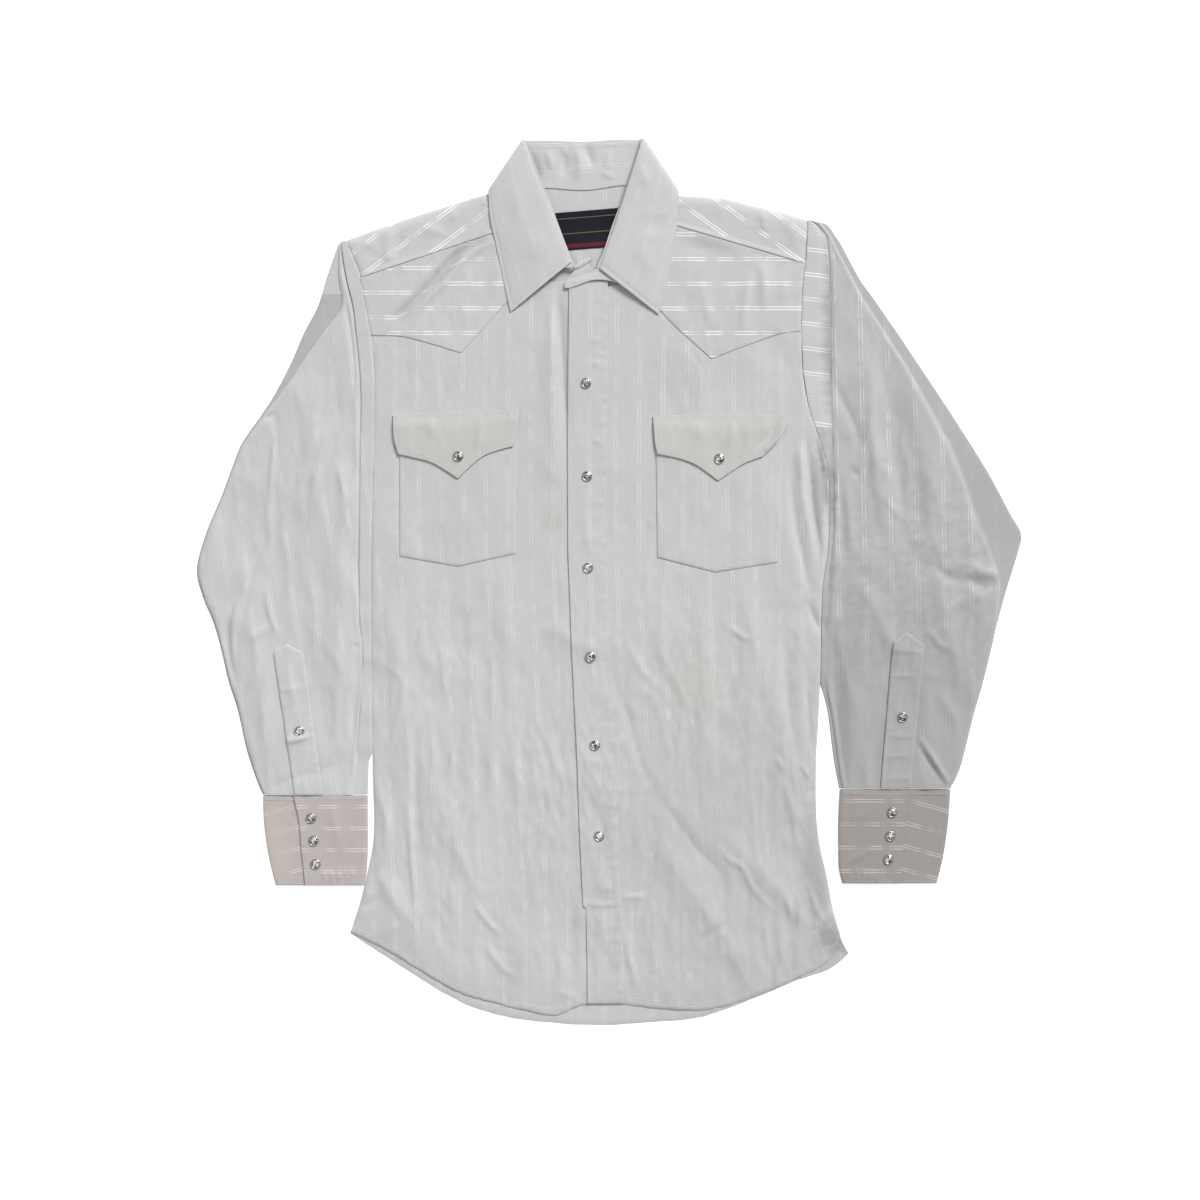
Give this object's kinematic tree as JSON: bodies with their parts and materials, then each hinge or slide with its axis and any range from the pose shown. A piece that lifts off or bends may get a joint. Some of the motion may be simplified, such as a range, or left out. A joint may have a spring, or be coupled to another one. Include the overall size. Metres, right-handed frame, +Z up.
{
  "type": "western snap shirt",
  "caption": "Long-sleeved western shirt of fine striped cotton laid flat, face up, with pointed yokes, pointed flap pockets, a snap front and snap cuffs.",
  "frame": {"origin": "on the surface that the shirt lies on, under the middle of its box", "axes": "+Z up out of the shirt's front, +Y towards the collar, +X towards the wearer's left side"},
  "size_m": [0.827, 0.8893, 0.0119],
  "materials": {
    "shirting": "fine white plain weave with pairs of shiny woven stripes",
    "fused_shirting": "the same cloth, interfaced and topstitched",
    "cuff_shirting": "the same cloth, interfaced, slightly pink with wear",
    "snap_nickel": "nickel plate",
    "snap_pearl": "pearlescent",
    "label_weave": "dense dark blue satin weave"
  },
  "bodies": {
    "root": {"back_body": "shirting", "back_yoke": "shirting", "inner_yoke": "shirting", "front_right": "shirting", "front_left": "shirting", "front_yoke_right": "shirting", "front_yoke_left": "shirting", "front_band": "shirting", "pocket_right": "shirting", "pocket_left": "shirting", "sleeve_right": "shirting", "sleeve_left": "shirting", "sleeve_placket_right": "shirting", "sleeve_placket_left": "shirting", "flap_right": "fused_shirting", "flap_left": "fused_shirting", "collar": "fused_shirting", "collar_stand": "fused_shirting", "cuff_right": "cuff_shirting", "cuff_left": "cuff_shirting", "label": "label_weave", "snap_rim_front_1": "snap_nickel", "snap_pearl_front_1": "snap_pearl", "snap_rim_front_2": "snap_nickel", "snap_pearl_front_2": "snap_pearl", "snap_rim_front_3": "snap_nickel", "snap_pearl_front_3": "snap_pearl", "snap_rim_front_4": "snap_nickel", "snap_pearl_front_4": "snap_pearl", "snap_rim_front_5": "snap_nickel", "snap_pearl_front_5": "snap_pearl", "snap_rim_front_6": "snap_nickel", "snap_pearl_front_6": "snap_pearl", "snap_rim_flap_right": "snap_nickel", "snap_pearl_flap_right": "snap_pearl", "snap_rim_flap_left": "snap_nickel", "snap_pearl_flap_left": "snap_pearl", "snap_rim_placket_right": "snap_nickel", "snap_pearl_placket_right": "snap_pearl", "snap_rim_placket_left": "snap_nickel", "snap_pearl_placket_left": "snap_pearl", "snap_rim_cuff_right_1": "snap_nickel", "snap_pearl_cuff_right_1": "snap_pearl", "snap_rim_cuff_right_2": "snap_nickel", "snap_pearl_cuff_right_2": "snap_pearl", "snap_rim_cuff_right_3": "snap_nickel", "snap_pearl_cuff_right_3": "snap_pearl", "snap_rim_cuff_left_1": "snap_nickel", "snap_pearl_cuff_left_1": "snap_pearl", "snap_rim_cuff_left_2": "snap_nickel", "snap_pearl_cuff_left_2": "snap_pearl", "snap_rim_cuff_left_3": "snap_nickel", "snap_pearl_cuff_left_3": "snap_pearl"}
  },
  "joints": []
}
